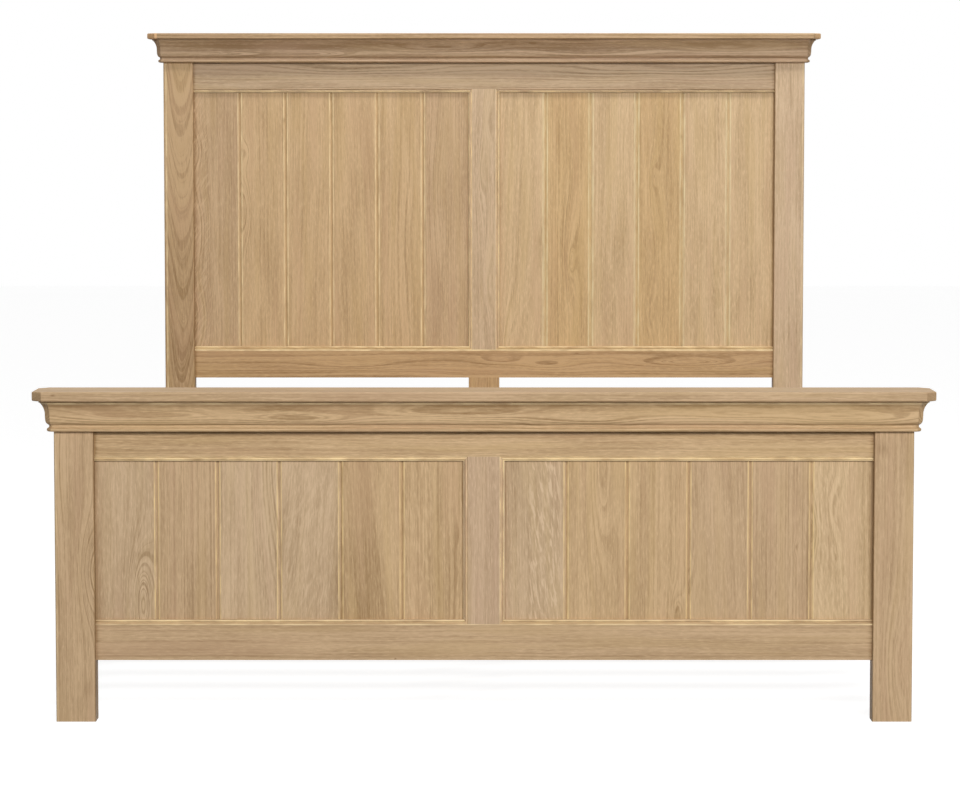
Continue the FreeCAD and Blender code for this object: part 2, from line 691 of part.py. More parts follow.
def make_cornice_front(end, name, front, turn):
    """The long member: swept along the front and round both clipped corners, mitred to the returns."""
    body = new_body(f"{end.name}_cornice_{name}", 0, 0, end.cap_under, turn)
    corner_y = front + size.cornice_clip
    tail_y = corner_y + cornice_reach
    front_x = half_width - size.cornice_clip
    path = new_sketch(body, "path", "XY")
    outline(path, [vertex(-half_width, tail_y), vertex(-half_width, corner_y), vertex(-front_x, front),
                   vertex(front_x, front), vertex(half_width, corner_y), vertex(half_width, tail_y)],
            closed=False)
    section = outline(new_sketch(body, "section", "XZ", -tail_y), cornice_section(-half_width, -1))
    sweep = body.newObject("PartDesign::AdditivePipe", f"{body.Name}_sweep")
    sweep.Profile = section
    sweep.Spine = path
    sweep.Transition = "Right corner"

    trim = new_sketch(body, "mitres", "XY", CUT_SPARE)
    mitre = MITRE_SLOPE * cornice_reach
    far_y = tail_y + CUT_SPARE
    for side in (-1, 1):
        outer = side * (half_width + cornice_reach)
        inner = side * (half_width - cornice_reach)
        outline(trim, [vertex(outer, corner_y - mitre), vertex(inner, corner_y + mitre),
                       vertex(inner, far_y), vertex(outer, far_y)])
    pocket(body, trim, cornice_drop + 2 * CUT_SPARE)
    return body


def make_cornice_return(end, side):
    """The short member along one end: mitred at each clipped corner, square where it meets the wall."""
    side_name = "left" if side < 0 else "right"
    body = new_body(f"{end.name}_cornice_{side_name}", 0, 0, end.cap_under)
    corner_y = end.front + size.cornice_clip
    back_y = end.front + size.post_depth
    face = side * half_width
    start = corner_y - cornice_reach
    finish = back_y - size.cornice_clip + cornice_reach if end.two_faced else back_y
    section = new_sketch(body, "section", "XZ", -finish)
    pad(body, outline(section, cornice_section(face, side)), finish - start)

    trim = new_sketch(body, "mitres", "XY", CUT_SPARE)
    corners = [(corner_y, -1)]
    if end.two_faced:
        corners.append((back_y - size.cornice_clip, 1))
    for mitre_y, away in corners:
        outer = side * (half_width + cornice_reach)
        inner = side * (half_width - cornice_reach)
        mitre = away * MITRE_SLOPE * cornice_reach
        far_y = mitre_y + away * (cornice_reach + CUT_SPARE)
        outline(trim, [vertex(outer, mitre_y + mitre), vertex(inner, mitre_y - mitre),
                       vertex(inner, far_y), vertex(outer, far_y)])
    pocket(body, trim, cornice_drop + 2 * CUT_SPARE)
    return body


# ---------------------------------------------------------------------------------------------
# Side rails and slatted base
# ---------------------------------------------------------------------------------------------
def make_side_rail(side):
    """A side rail between the posts, with rounded arrises."""
    body = new_body("side_rail_left" if side < 0 else "side_rail_right", side * rail_inner, middle_y,
                    size.side_rail_clearance)
    t = side * size.side_rail_thickness
    low_x, high_x = (t, as_length(0)) if side < 0 else (as_length(0), t)
    section = new_sketch(body, "section", "XZ")
    outline(section, rounded_path(low_x, as_length(0), high_x, size.side_rail_height, size.arris_radius))
    pad(body, section, size.side_rail_length, both_ways=True)
    return body


def make_bearer(side):
    """A strip along the inside of a side rail that carries the slats' ends."""
    body = new_body("bearer_left" if side < 0 else "bearer_right", side * rail_inner, middle_y,
                    slat_bottom - size.bearer_size)
    width = side * size.bearer_size
    low_x, high_x = (as_length(0), -width) if side < 0 else (-width, as_length(0))
    section = new_sketch(body, "section", "XZ")
    outline(section, chamfered_path(low_x, as_length(0), high_x, size.bearer_size, size.pine_chamfer))
    pad(body, section, size.side_rail_length - 2 * size.slat_margin, both_ways=True)
    return body


def make_slats():
    """One slat, repeated along the bed at even spacing."""
    first = foot_back + size.slat_margin
    body = new_body("slats", 0, first, slat_bottom)
    section = new_sketch(body, "section", "YZ")
    outline(section, chamfered_path(as_length(0), as_length(0), size.slat_width, size.slat_thickness,
                                    size.pine_chamfer))
    slat = pad(body, section, 2 * (rail_inner - size.slat_end_gap), both_ways=True)
    row = body.newObject("PartDesign::LinearPattern", "slat_row")
    row.Originals = [slat]
    row.Direction = (section, ["H_Axis"])
    row.Mode = "Extent"
    row.Occurrences = int(size.slat_count.value)
    bind(row, "Length", size.side_rail_length - 2 * size.slat_margin - size.slat_width)
    body.Tip = row
    return body


def make_centre_beam():
    """The beam under the slats' middle, between the footboard's muntin and the head centre leg."""
    clear = size.steel_thickness + size.hanger_gap
    start = foot.rail_face + size.rail_thickness + clear
    finish = head.rail_face - clear
    body = new_body("centre_beam", 0, start, beam_bottom)
    section = new_sketch(body, "section", "XZ")
    half = size.beam_width / 2
    outline(section, chamfered_path(-half, as_length(0), half, size.beam_height, size.pine_chamfer))
    pad(body, section, finish - start, backward=True)
    return body


def make_leg(name, y, width, depth, height, chamfer):
    """An upright with chamfered arrises and a chamfered foot."""
    body = new_body(name, 0, y, 0)
    section = new_sketch(body, "section", "XY")
    outline(section, chamfered_path(-width / 2, as_length(0), width / 2, depth, chamfer))
    shaft = pad(body, section, height)
    dress(body, "Chamfer", shaft, lambda edge: lies_at_height(edge, 0), size.foot_chamfer)
    return body


def make_head_centre_leg():
    """The leg under the headboard's muntin, tenoned into the bottom rail."""
    body = make_leg("head_centre_leg", head.rail_face, size.muntin_width, size.rail_thickness,
                    head.clearance, size.foot_chamfer)
    tenon = new_sketch(body, "tenon", "XY", head.clearance)
    half = size.muntin_tenon_width / 2
    rectangle(tenon, -half, tenon_near, half, tenon_far)
    pad(body, tenon, size.muntin_tenon_length)
    return body


# ---------------------------------------------------------------------------------------------
# Hardware
# ---------------------------------------------------------------------------------------------
def make_bracket(end, side):
    """A steel angle in the corner between a side rail and a post, with bolt and screw holes."""
    toward = 1 if end is foot else -1
    post_face = foot_back if end is foot else head_front
    body = new_body(f"bracket_{end.name}_{'left' if side < 0 else 'right'}", side * rail_inner, post_face,
                    bracket_z)
    t = size.steel_thickness
    inward = -side
    leg_tip = inward * (rail_inner - post_inner - size.bracket_margin)
    reach_tip = toward * size.bracket_reach
    section = new_sketch(body, "section", "XY")
    outline(section, [vertex(0, 0), vertex(leg_tip, 0), vertex(leg_tip, toward * t),
                      vertex(inward * t, toward * t), vertex(inward * t, reach_tip), vertex(0, reach_tip)])
    pad(body, section, size.bracket_height, both_ways=True)
    bolts = new_sketch(body, "bolt_holes", "XZ", -toward * t)
    for level in (-1, 1):
        circle(bolts, inward * (rail_inner - bolt_x), level * size.bolt_spacing / 2, bolt_hole_radius)
    pocket(body, bolts, t, forward=end is foot)
    screws = new_sketch(body, "screw_holes", "YZ", inward * t)
    for level in (-1, 1):
        circle(screws, toward * size.screw_offset, level * size.screw_spacing / 2, size.screw_hole_radius)
    pocket(body, screws, t, forward=side > 0)
    return body


def make_bolt_and_insert(end, side, level):
    """A hexagon bolt through the bracket, and the threaded insert that it screws into."""
    toward = 1 if end is foot else -1
    post_face = foot_back if end is foot else head_front
    tag = f"{end.name}_{'left' if side < 0 else 'right'}_{'low' if level < 0 else 'high'}"
    z = bracket_z + level * size.bolt_spacing / 2
    into_post = FreeCAD.Rotation(FreeCAD.Vector(1, 0, 0), 90 * toward)

    def prism(name, sides, radius, height, start_y):
        solid = doc.addObject("Part::Prism", f"{name}_{tag}")
        solid.Placement = FreeCAD.Placement(FreeCAD.Vector(), into_post)
        solid.Polygon = sides
        bind(solid, "Circumradius", radius)
        bind(solid, "Height", height)
        place(solid, side * bolt_x, start_y, z)
        return solid

    head_y = post_face + toward * (size.steel_thickness + size.bolt_head_height)
    full_length = (size.bolt_head_height + size.steel_thickness + size.insert_length
                   - size.bolt_tip_gap)
    hexagon = prism("bolt_head", 6, size.bolt_head_radius, size.bolt_head_height, head_y)
    shank = prism("bolt_shank", SMALL_SIDES, size.bolt_radius, full_length, head_y)
    bolt = doc.addObject("Part::MultiFuse", f"bolt_{tag}")
    bolt.Shapes = [hexagon, shank]
    sleeve = prism("insert_sleeve", SMALL_SIDES, size.insert_radius, size.insert_length, post_face)
    bore = prism("insert_bore", SMALL_SIDES, bolt_hole_radius, size.insert_length, post_face)
    insert = doc.addObject("Part::Cut", f"insert_{tag}")
    insert.Base = sleeve
    insert.Tool = bore
    return bolt, insert


def make_hanger(name, y, turn):
    """A folded steel shoe: back plate, cheeks and a floor for the centre beam's end."""
    body = new_body(name, 0, y, beam_bottom, turn)
    t = size.steel_thickness
    gap = size.hanger_gap
    half = size.beam_width / 2
    plate = new_sketch(body, "plate", "XZ")
    half_plate = size.hanger_plate_width / 2
    rectangle(plate, -half_plate, -gap - t, half_plate, size.hanger_plate_height - gap - t)
    pad(body, plate, t, backward=True)
    shoe = new_sketch(body, "shoe", "XZ")
    outline(shoe, [vertex(-half - gap - t, -gap - t), vertex(half + gap + t, -gap - t),
                   vertex(half + gap + t, size.hanger_cheek), vertex(half + gap, size.hanger_cheek),
                   vertex(half + gap, -gap), vertex(-half - gap, -gap),
                   vertex(-half - gap, size.hanger_cheek), vertex(-half - gap - t, size.hanger_cheek)])
    pad(body, shoe, size.hanger_depth, backward=True)
    screws = new_sketch(body, "screw_holes", "XZ")
    hole_x = (half_plate + half + gap + t) / 2
    for side in (-1, 1):
        circle(screws, side * hole_x, size.hanger_plate_height / 2 - gap - t, size.screw_hole_radius)
    pocket(body, screws, t)
    return body


# ---------------------------------------------------------------------------------------------
# The bed
# ---------------------------------------------------------------------------------------------
bolts = []
inserts = []
brackets = []
for end in ends:
    for side in (-1, 1):
        post = make_post(end, side)
        keep(post.Label, post)
    top_rail = make_rail(end, "top_rail", end.top_rail, end.field_top, edge_up=False)
    cut_tongue_groove(top_rail, end.top_rail, size.rail_thickness / 2, up=False)
    bottom_rail = make_rail(end, "bottom_rail", end.bottom_rail, end.clearance, edge_up=True)
    if end is head:
        cut_mortise(bottom_rail, "leg_mortise", 0, size.muntin_tenon_length, up=True)
    for piece in (top_rail, bottom_rail, make_muntin(end), make_cap(end), make_cap_tongue(end)):
        keep(piece.Label, piece)
    for field_side in (-1, 1):
        for index in range(int(size.board_count.value)):
            board = make_board(end, field_side, index)
            keep(board.Label, board)
    long_member = make_cornice_front(end, "front", end.front, 0)
    keep(long_member.Label, long_member)
    for side in (-1, 1):
        cornice_return = make_cornice_return(end, side)
        keep(cornice_return.Label, cornice_return)
back_member = make_cornice_front(foot, "back", -foot_back, 180)
keep(back_member.Label, back_member)

for side in (-1, 1):
    for piece in (make_side_rail(side), make_bearer(side)):
        keep(piece.Label, piece)
    for end in ends:
        brackets.append(make_bracket(end, side))
        for level in (-1, 1):
            bolt, insert = make_bolt_and_insert(end, side, level)
            bolts.append(bolt)
            inserts.append(insert)
keep("slats", make_slats())
keep("centre_beam", make_centre_beam())
keep("head_centre_leg", make_head_centre_leg())
for name, step in (("centre_leg_foot", -1), ("centre_leg_head", 1)):
    leg_y = middle_y + step * size.leg_spacing / 2 - size.leg_size / 2
    keep(name, make_leg(name, leg_y, size.leg_size, size.leg_size, beam_bottom, size.pine_chamfer))
hangers = [make_hanger("hanger_foot", foot.rail_face + size.rail_thickness, 0),
           make_hanger("hanger_head", head.rail_face, 180)]
group("corner_brackets", brackets)
group("bracket_bolts", bolts)
group("bolt_inserts", inserts)
group("beam_hangers", hangers)

doc.recompute()
for thing in doc.Objects:
    if "Invalid" in thing.State or "Error" in thing.State:
        raise RuntimeError(f"{thing.Name} failed: {thing.State}")
for name, thing in parts.items():
    if thing.Shape.isNull() or not thing.Shape.isValid():
        raise RuntimeError(f"{name} has no sound shape")

os.makedirs("parts", exist_ok=True)
for name, thing in parts.items():
    thing.Shape.exportStep(f"parts/{name}.step")
print(f"{len(parts)} pieces written")
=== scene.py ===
"""Looks of the oak panel bed: every plank with its own sawn figure, the steel fittings, the wood
screws, a pale studio floor, soft lamps and the camera.

Lengths are metres, except in the timber's own sections, where they are mm.
"""

import math

import bpy
import numpy as np
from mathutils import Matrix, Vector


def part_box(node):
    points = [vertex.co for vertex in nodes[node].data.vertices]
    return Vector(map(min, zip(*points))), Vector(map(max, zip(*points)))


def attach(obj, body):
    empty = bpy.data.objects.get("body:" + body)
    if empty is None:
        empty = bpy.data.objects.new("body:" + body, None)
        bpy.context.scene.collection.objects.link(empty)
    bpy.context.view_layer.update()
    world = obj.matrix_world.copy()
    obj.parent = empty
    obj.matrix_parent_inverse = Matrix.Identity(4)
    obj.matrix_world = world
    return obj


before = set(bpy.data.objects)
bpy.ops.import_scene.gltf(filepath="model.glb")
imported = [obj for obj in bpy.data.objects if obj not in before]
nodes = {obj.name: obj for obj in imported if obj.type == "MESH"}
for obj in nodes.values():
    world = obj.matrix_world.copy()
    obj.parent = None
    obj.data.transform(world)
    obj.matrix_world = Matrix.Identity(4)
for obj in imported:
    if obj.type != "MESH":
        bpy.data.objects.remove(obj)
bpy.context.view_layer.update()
bpy.context.scene.view_settings.view_transform = "Standard"

# ---------------------------------------------------------------------------------------------
# Camera, lamps, floor
# ---------------------------------------------------------------------------------------------
CAMERA_PLACE = (0.0, -6.908, 1.1104)
CAMERA_TILT = math.radians(85.937)
CAMERA_LENS = 117.48
CAMERA_SHIFT = (-0.0042, -0.05)
BACKGROUND_WHITE = 1.0
ROOM_LIGHT = 0.11
FLOOR_REACH = 16.0
FLOOR_DROP = 0.0004      # the floor lies this far under the feet, so that the two never share a plane
FLOOR_GLOW = 0.90


def place_camera():
    """A long lens straight in front of the footboard, a little above it."""
    data = bpy.data.cameras.new("camera")
    data.lens = CAMERA_LENS
    data.shift_x, data.shift_y = CAMERA_SHIFT
    data.clip_end = 60.0
    camera = bpy.data.objects.new("camera", data)
    camera.location = CAMERA_PLACE
    camera.rotation_euler = (CAMERA_TILT, 0.0, 0.0)
    bpy.context.scene.collection.objects.link(camera)
    bpy.context.scene.camera = camera


def place_lamp(name, place, target, width, height, watts):
    """A soft rectangular lamp that faces its target."""
    data = bpy.data.lights.new(name, "AREA")
    data.shape = "RECTANGLE"
    data.size = width
    data.size_y = height
    data.energy = watts
    lamp = bpy.data.objects.new(name, data)
    lamp.location = place
    aim = np.array(target) - np.array(place)
    lamp.rotation_euler = (math.acos(-aim[2] / np.linalg.norm(aim)), 0.0, math.atan2(-aim[0], aim[1]))
    bpy.context.scene.collection.objects.link(lamp)


def seen_directly(tree):
    """1 for rays from the camera, from gloss and through clear pieces, 0 for the light that spreads."""
    path = tree.nodes.new("ShaderNodeLightPath")
    seen = path.outputs["Is Camera Ray"]
    for name in ("Is Glossy Ray", "Is Transmission Ray"):
        either = tree.nodes.new("ShaderNodeMath")
        either.operation = "MAXIMUM"
        tree.links.new(seen, either.inputs[0])
        tree.links.new(path.outputs[name], either.inputs[1])
        seen = either.outputs[0]
    return seen


def light_room():
    """An even pale room: white where it is seen, softer where it only lights."""
    world = bpy.data.worlds.new("pale_room")
    bpy.context.scene.world = world
    world.use_nodes = True
    tree = world.node_tree
    strength = tree.nodes.new("ShaderNodeMapRange")
    strength.inputs["To Min"].default_value = ROOM_LIGHT
    strength.inputs["To Max"].default_value = BACKGROUND_WHITE
    tree.links.new(seen_directly(tree), strength.inputs["Value"])
    background = tree.nodes["Background"]
    background.inputs["Color"].default_value = (1.0, 1.0, 1.0, 1.0)
    tree.links.new(strength.outputs["Result"], background.inputs["Strength"])


def lay_floor():
    """A pale floor that takes the bed's soft shadow and runs into the white behind it."""
    corners = np.array([(-1, -1, 0), (1, -1, 0), (1, 1, 0), (-1, 1, 0)], float) * FLOOR_REACH
    corners[:, 2] = -FLOOR_DROP
    mesh = bpy.data.meshes.new("floor")
    mesh.from_pydata(corners.tolist(), [], [(0, 1, 2, 3)])
    floor = bpy.data.objects.new("floor", mesh)
    bpy.context.scene.collection.objects.link(floor)
    material = bpy.data.materials.new("pale_floor")
    material.use_nodes = True
    tree = material.node_tree
    matt = tree.nodes["Principled BSDF"]
    matt.inputs["Base Color"].default_value = (0.30, 0.30, 0.30, 1.0)
    matt.inputs["Roughness"].default_value = 0.9
    matt.inputs["Specular IOR Level"].default_value = 0.1
    glow = tree.nodes.new("ShaderNodeEmission")
    share = tree.nodes.new("ShaderNodeMath")
    share.operation = "MULTIPLY"
    share.inputs[1].default_value = FLOOR_GLOW
    tree.links.new(seen_directly(tree), share.inputs[0])
    tree.links.new(share.outputs[0], glow.inputs["Strength"])
    both = tree.nodes.new("ShaderNodeAddShader")
    tree.links.new(matt.outputs["BSDF"], both.inputs[0])
    tree.links.new(glow.outputs["Emission"], both.inputs[1])
    tree.links.new(both.outputs["Shader"], tree.nodes["Material Output"].inputs["Surface"])
    mesh.materials.append(material)


place_camera()
light_room()
lay_floor()
place_lamp("front_softbox", (1.5, -8.6, 3.6), (0.0, -1.0, 0.6), 4.6, 2.4, 590.0)
place_lamp("ceiling_strip", (0.55, -0.25, 3.9), (0.2, 0.8, 0.8), 2.6, 0.3, 66.0)


# ---------------------------------------------------------------------------------------------
# Shader nodes
# ---------------------------------------------------------------------------------------------
def tone(red, green, blue):
    """The linear colour of a tone written as 0 to 255 on a screen."""
    parts = np.array((red, green, blue)) / 255.0
    linear = np.where(parts <= 0.04045, parts / 12.92, ((parts + 0.055) / 1.055) ** 2.4)
    return tuple(linear.tolist()) + (1.0,)


class Finish:
    """A material being made: each method adds one node, joins its inputs and returns its output."""

    def __init__(self, name):
        self.material = bpy.data.materials.new(name)
        self.material.use_nodes = True
        self.tree = self.material.node_tree
        self.surface = self.tree.nodes["Principled BSDF"]

    def add(self, kind, inputs, output, **settings):
        """One node of a kind, with its settings and inputs, and the output that is wanted."""
        node = self.tree.nodes.new("ShaderNode" + kind)
        for setting, value in settings.items():
            setattr(node, setting, value)
        for socket, value in inputs.items():
            self.join(value, node.inputs[socket])
        return node.outputs[output]

    def join(self, value, socket):
        """Links a socket's value, or sets a constant on the socket itself."""
        if isinstance(value, bpy.types.NodeSocket):
            self.tree.links.new(value, socket)
        else:
            socket.default_value = value

    def math(self, operation, first, second=0.0, third=0.0):
        return self.add("Math", {0: first, 1: second, 2: third}, 0, operation=operation)

    def total(self, *terms):
        result = terms[0]
        for term in terms[1:]:
            result = self.math("ADD", result, term)
        return result

    def times(self, first, second):
        return self.math("MULTIPLY", first, second)

    def vector(self, x, y, z):
        return self.add("CombineXYZ", {"X": x, "Y": y, "Z": z}, 0)

    def noise(self, where, detail=2.0, roughness=0.5):
        """Smooth noise about 0.5, at one grain for each unit of where."""
        return self.add("TexNoise", {"Vector": where, "Scale": 1.0, "Detail": detail,
                                     "Roughness": roughness}, 0)

    def line_noise(self, where, detail=2.0, roughness=0.5):
        """The same along a single measure."""
        return self.add("TexNoise", {"W": where, "Scale": 1.0, "Detail": detail,
                                     "Roughness": roughness}, 0, noise_dimensions="1D")

    def between(self, value, low, high, to_low=0.0, to_high=1.0, smooth=True):
        """A ramp from to_low, where the value is low, to to_high, where it is high."""
        kind = "SMOOTHSTEP" if smooth else "LINEAR"
        return self.add("MapRange", {"Value": value, "From Min": low, "From Max": high,
                                     "To Min": to_low, "To Max": to_high}, 0, interpolation_type=kind)

    def blend(self, share, below, above):
        return self.add("Mix", {0: share, 6: below, 7: above}, 2, data_type="RGBA")

    def dress(self, colour, roughness, height, depth_mm, **constants):
        """Joins colour, roughness and bump to the surface; constants are set on its own sockets."""
        self.join(colour, self.surface.inputs["Base Color"])
        self.join(roughness, self.surface.inputs["Roughness"])
        bump = self.add("Bump", {"Height": height, "Strength": 1.0, "Distance": depth_mm / 1000.0},
                        "Normal")
        self.join(bump, self.surface.inputs["Normal"])
        for socket, value in constants.items():
            self.surface.inputs[socket.replace("_", " ")].default_value = value


# ---------------------------------------------------------------------------------------------
# Sawn timber
# ---------------------------------------------------------------------------------------------
# Tones of oak as a screen shows them, 0 to 255.
HONEY = (193, 163, 123)
PALE = (198, 170, 131)
AMBER = (195, 164, 119)
BISCUIT = (192, 165, 131)
ROSY = (189, 161, 130)
FAWN = (187, 158, 122)
UMBER = (181, 148, 107)
TAN = (181, 151, 113)
DRIFT = (182, 157, 126)
SAND = (195, 169, 137)

# Tones of the painted highlights along the lips and at the tips.
CREAM = (250, 227, 178)
APRICOT = (255, 203, 148)
GOLD = (247, 218, 160)
STRAW = (228, 210, 166)

PINE = (214, 186, 138)
BEECH = (206, 170, 134)

# For each direction of the grain, the object's axes that u, v and w run along.
AXES = {"X": ("Z", "X", "Y"), "Y": ("Z", "Y", "X"), "Z": ("X", "Z", "Y")}

# A half width or half length, in mm, that reaches past the edges of every piece.
WHOLE = 4000


class Plank:
    """How one piece of timber was sawn, in mm from its middle.

    Ground is the wood's own tone, grain the axis that it runs along, ring the rings' step and
    contrast how strongly they are drawn, with figure added to it inside the eyes.
    The year rings follow the level lines of one height: across * u + along * v + deep * w
    + arch * u * u / 100 + the eyes + a slow wave, where v runs with the grain, u across the face
    and w into it. An eye is a smooth hill of the height: (u, v, half width, half length, rise).
    The fibres follow the level lines of u + 0.4 * along * v + deep * w + a slow wave.
    A shade is a darker place, of an eye's form: (u, v, half width, half length, strength).
    A lip is a painted highlight along an edge with the grain, where light catches an arris, a bead
    or a V-joint: (u, half width, strength), and a tip a painted highlight across the grain, at an
    end: (v, half length, strength). Curl is the light cross figure, in strokes along
    u + slope * v: (strength, u of its middle, half width, slope). Heart is darker heartwood where
    u + slope * v is under the edge: (slope, edge, strength).
    """

    def __init__(self, ground, grain="Z", across=1.0, along=0.0, deep=0.8, arch=0.0, wave=10.0,
                 ring=6.0, contrast=0.5, figure=0.7, eyes=(), shades=(), lips=(), tips=(),
                 highlight_tone=CREAM, curl=None, heart=None):
        self.ground = ground
        self.grain = grain
        self.across = across
        self.along = along
        self.deep = deep
        self.arch = arch
        self.wave = wave
        self.ring = ring
        self.contrast = contrast
        self.figure = figure
        self.eyes = eyes
        self.shades = shades
        self.lips = lips
        self.tips = tips
        self.highlight_tone = highlight_tone
        self.curl = curl
        self.heart = heart


def shifted(ground, red, green, blue):
    """The ground colour with each of its parts multiplied."""
    return (ground[0] * red, ground[1] * green, ground[2] * blue, 1.0)


def hill(wood, u, v, place):
    """exp(-(du squared + dv squared)), with du and dv in half widths and half lengths."""
    middle_u, middle_v, half_width, half_length, _ = place
    du = wood.math("MULTIPLY_ADD", u, 1 / half_width, -middle_u / half_width)
    dv = wood.math("MULTIPLY_ADD", v, 1 / half_length, -middle_v / half_length)
    away = wood.total(wood.times(du, du), wood.times(dv, dv))
    return wood.math("EXPONENT", wood.times(away, -1.0))


def streaks(wood, field, place, step_mm, length_mm, detail, shift, roughness=0.5):
    """Noise drawn out along the level lines of a field: step_mm across, length_mm along the grain."""
    _, v, w = place
    return wood.noise(wood.vector(wood.math("MULTIPLY_ADD", field, 1 / step_mm, shift),
                                  wood.times(v, 1 / length_mm), wood.times(w, 1 / step_mm)),
                      detail, roughness)


def sawn_fields(wood, plank, place, seed):
    """The slow wave, the fibres' field, the rings' height and how far inside an eye a place is."""
    u, v, w = place
    slow = streaks(wood, u, place, 95.0, 480.0, 2.0, seed)
    straight = wood.total(u, wood.times(v, 0.4 * plank.along), wood.times(w, plank.deep),
                          wood.math("MULTIPLY_ADD", slow, 1.3 * plank.wave, -0.65 * plank.wave))
    height = wood.total(wood.times(u, plank.across),
                        wood.times(v, plank.along),
                        wood.times(w, plank.deep),
                        wood.times(wood.times(u, u), plank.arch / 100.0),
                        wood.math("MULTIPLY_ADD", slow, 2 * plank.wave, -plank.wave))
    inside_eye = 0.0
    for eye in plank.eyes:
        rising = hill(wood, u, v, eye)
        height = wood.math("MULTIPLY_ADD", rising, eye[4], height)
        inside_eye = wood.math("MAXIMUM", inside_eye, rising)
    return slow, straight, height, inside_eye


def heartwood(wood, plank, place, slow):
    """Darker wood on one side of a slanting edge, weaker towards the top."""
    u, v, _ = place
    slope, edge, strength = plank.heart
    across_edge = wood.total(wood.math("MULTIPLY_ADD", v, slope, u), wood.times(slow, 8.0))
    fading = wood.between(v, 150.0, -60.0, 0.45, 1.0)
    return wood.times(fading, wood.between(across_edge, edge + 1.5, edge - 1.5, 0.0, strength))


def curled(wood, plank, place, slow, seed, ground, colour):
    """Short light strokes with darker hollows between them, within the curl's half width."""
    u, v, w = place
    strength, middle_u, half_width, slope = plank.curl
    leaning = wood.total(wood.math("MULTIPLY_ADD", v, slope, u), wood.times(slow, 30.0))
    strokes = wood.noise(wood.vector(wood.times(v, 1 / 26.0),
                                     wood.math("MULTIPLY_ADD", leaning, 1 / 4.0, seed),
                                     wood.times(w, 1 / 9.0)), 2.0)
    apart = wood.math("ABSOLUTE", wood.total(u, -middle_u))
    within = wood.between(apart, half_width, 0.55 * half_width)
    light = wood.times(wood.between(strokes, 0.52, 0.64), within)
    colour = wood.blend(wood.times(light, strength), colour, shifted(ground, 1.32, 1.36, 1.44))
    hollow = wood.times(wood.between(strokes, 0.47, 0.36), within)
    return wood.blend(wood.times(hollow, 0.4 * strength), colour, shifted(ground, 0.74, 0.70, 0.62))


def add_painted_highlights(wood, plank, place, seed, colour):
    """The painted highlights of the lips and tips, brighter in some stretches of the grain than in
    others.
    """
    u, v, _ = place
    for measure, bands in ((u, plank.lips), (v, plank.tips)):
        for middle_mm, half_width, strength in bands:
            apart = wood.math("ABSOLUTE", wood.total(measure, -middle_mm))
            band = wood.between(apart, half_width + 0.9, half_width - 0.6)
            stretch = wood.noise(wood.vector(wood.times(v, 1 / 48.0), seed + middle_mm, 0.0), 2.0)
            share = wood.times(band, wood.between(stretch, 0.3, 0.7, 0.25 * strength, strength))
            colour = wood.blend(share, colour, tone(*plank.highlight_tone))
    return colour


def timber(name, middle, plank, seed):
    """Solid wood: rings along the level lines of Plank, fine fibres and pores that follow them,
    slow shifts of tone, curl, darker end grain, the Plank's shades, and painted highlights on lips and
    tips."""
    wood = Finish(name)
    coordinates = wood.tree.nodes.new("ShaderNodeTexCoord")
    to_middle = tuple(-1000.0 * part for part in middle)
    from_middle = wood.add("Mapping", {"Vector": coordinates.outputs["Object"],
                                       "Location": to_middle, "Scale": (1000.0,) * 3}, 0)
    split = wood.tree.nodes.new("ShaderNodeSeparateXYZ")
    wood.join(from_middle, split.inputs[0])
    place = tuple(split.outputs[axis] for axis in AXES[plank.grain])
    u, v, _ = place
    slow, straight, height, inside_eye = sawn_fields(wood, plank, place, seed)

    year = wood.line_noise(wood.math("MULTIPLY_ADD", height, 1 / plank.ring, 7.3 * seed), 3.0, 0.6)
    rings = wood.total(wood.between(year, 0.34, 0.68, 0.0, 0.65),
                       wood.between(year, 0.50, 0.58, 0.0, 0.35))
    fibres = wood.between(streaks(wood, straight, place, 3.0, 130.0, 3.0, seed, 0.62), 0.30, 0.70)
    dashes = streaks(wood, straight, place, 2.0, 16.0, 2.0, seed + 40.0)
    pores = wood.between(dashes, 0.53, 0.68)
    sheen = wood.between(dashes, 0.47, 0.32)
    patches = wood.between(streaks(wood, height, place, 38.0, 300.0, 2.0, 3.1 * seed),
                           0.3, 0.7, -1.0, 1.0)

    drawn = wood.math("MULTIPLY_ADD", inside_eye, plank.figure, plank.contrast)
    deepness = wood.total(wood.times(wood.times(wood.total(rings, -0.46), 0.44), drawn), 0.165,
                          wood.times(fibres, 0.25), wood.times(pores, 0.15),
                          wood.times(sheen, -0.24), wood.times(patches, 0.14))
    for shade in plank.shades:
        deepness = wood.math("MULTIPLY_ADD", hill(wood, u, v, shade), shade[4], deepness)
    if plank.heart:
        deepness = wood.total(deepness, heartwood(wood, plank, place, slow))
    deepness = wood.between(deepness, -0.5, 1.5, -0.5, 1.5, smooth=False)
    ground = tone(*plank.ground)
    colour = wood.blend(deepness, shifted(ground, 1.20, 1.21, 1.24), shifted(ground, 0.58, 0.51, 0.41))

    tints = streaks(wood, height, place, 28.0, 420.0, 1.0, -seed)
    rosier = wood.between(tints, 0.52, 0.70, 0.0, 0.35)
    colour = wood.blend(rosier, colour, shifted(ground, 1.0, 0.93, 0.97))
    yellower = wood.between(tints, 0.48, 0.31, 0.0, 0.3)
    colour = wood.blend(yellower, colour, shifted(ground, 1.01, 1.0, 0.85))
    if plank.curl:
        colour = curled(wood, plank, place, slow, seed, ground, colour)

    facing = wood.tree.nodes.new("ShaderNodeSeparateXYZ")
    wood.join(coordinates.outputs["Normal"], facing.inputs[0])
    endwise = wood.math("ABSOLUTE", facing.outputs[AXES[plank.grain][1]])
    end_grain = wood.between(endwise, 0.45, 0.95, 0.0, 0.5)
    colour = wood.blend(end_grain, colour, shifted(ground, 0.70, 0.58, 0.42))
    colour = add_painted_highlights(wood, plank, place, seed, colour)

    roughness = wood.between(fibres, 0.0, 1.0, 0.50, 0.64)
    wood.dress(colour, roughness, wood.times(deepness, -1.0), 0.22, Specular_IOR_Level=0.28)
    return wood.material


